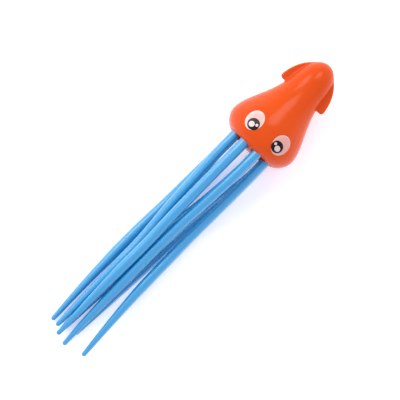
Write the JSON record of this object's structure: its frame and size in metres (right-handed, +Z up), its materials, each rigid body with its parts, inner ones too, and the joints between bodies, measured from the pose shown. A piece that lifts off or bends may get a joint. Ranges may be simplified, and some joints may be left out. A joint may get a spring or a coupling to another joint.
{
  "type": "squid dive toy",
  "caption": "Weighted pool dive toy: a glossy hollow squid head with nose fins and printed cartoon eyes, trailing long soft tapered arms that bend at the base.",
  "frame": {"origin": "middle of the bounding box at its lowest level, on the surface that the toy lies on", "axes": "+X along the toy from the arm tips to the nose, +Z up through the face with the eyes, the toy lying on its back"},
  "size_m": [0.2031, 0.0418, 0.0361],
  "materials": {
    "head_plastic": "glossy moulded orange plastic",
    "base_plastic": "satin moulded orange plastic",
    "arm_rubber": "satin soft light-blue elastomer",
    "cage_plastic": "natural moulded plastic",
    "weight_steel": "turned steel",
    "eye_white": "pad-printed off-white ink under gloss",
    "eye_black": "pad-printed black ink under gloss",
    "eye_glint": "pad-printed white ink under gloss"
  },
  "bodies": {
    "head": {"head_front": "head_plastic", "head_back": "head_plastic", "base_plate": "base_plastic", "arm_hub": "arm_rubber", "weight_cage": "cage_plastic", "sink_weight": "weight_steel", "left_eye_white": "eye_white", "right_eye_white": "eye_white", "left_pupil": "eye_black", "right_pupil": "eye_black", "left_eye_glints": "eye_glint", "right_eye_glints": "eye_glint"},
    "arm_1": {"arm_1": "arm_rubber"},
    "arm_2": {"arm_2": "arm_rubber"},
    "arm_3": {"arm_3": "arm_rubber"},
    "arm_4": {"arm_4": "arm_rubber"},
    "arm_5": {"arm_5": "arm_rubber"},
    "arm_6": {"arm_6": "arm_rubber"},
    "arm_7": {"arm_7": "arm_rubber"},
    "arm_8": {"arm_8": "arm_rubber"}
  },
  "joints": [
    {"name": "arm_1_bend", "type": "hinge", "parent": "head", "child": "arm_1", "pos_m": [0.04019, 0.01044, 0.02232], "axis": [0, 0.769, -0.6392], "range_deg": [0, 40], "stiffness_Nm_per_rad": 0.02},
    {"name": "arm_2_bend", "type": "hinge", "parent": "head", "child": "arm_2", "pos_m": [0.04019, 0.00432, 0.02844], "axis": [0, 0.9536, -0.3011], "range_deg": [0, 40], "stiffness_Nm_per_rad": 0.02},
    {"name": "arm_3_bend", "type": "hinge", "parent": "head", "child": "arm_3", "pos_m": [0.04019, -0.00432, 0.02844], "axis": [0, 0.9536, 0.3011], "range_deg": [0, 40], "stiffness_Nm_per_rad": 0.02},
    {"name": "arm_4_bend", "type": "hinge", "parent": "head", "child": "arm_4", "pos_m": [0.04019, -0.01044, 0.02232], "axis": [0, 0.769, 0.6392], "range_deg": [0, 40], "stiffness_Nm_per_rad": 0.02},
    {"name": "arm_5_bend", "type": "hinge", "parent": "head", "child": "arm_5", "pos_m": [0.04019, -0.01044, 0.01368], "axis": [0, 0, 1], "range_deg": [0, 30], "stiffness_Nm_per_rad": 0.02},
    {"name": "arm_6_bend", "type": "hinge", "parent": "head", "child": "arm_6", "pos_m": [0.04019, -0.00432, 0.00756], "axis": [0, -1, 0], "range_deg": [0, 20], "stiffness_Nm_per_rad": 0.02},
    {"name": "arm_7_bend", "type": "hinge", "parent": "head", "child": "arm_7", "pos_m": [0.04019, 0.00432, 0.00756], "axis": [0, -1, 0], "range_deg": [0, 20], "stiffness_Nm_per_rad": 0.02},
    {"name": "arm_8_bend", "type": "hinge", "parent": "head", "child": "arm_8", "pos_m": [0.04019, 0.01044, 0.01368], "axis": [0, 0, -1], "range_deg": [0, 35], "stiffness_Nm_per_rad": 0.02}
  ]
}
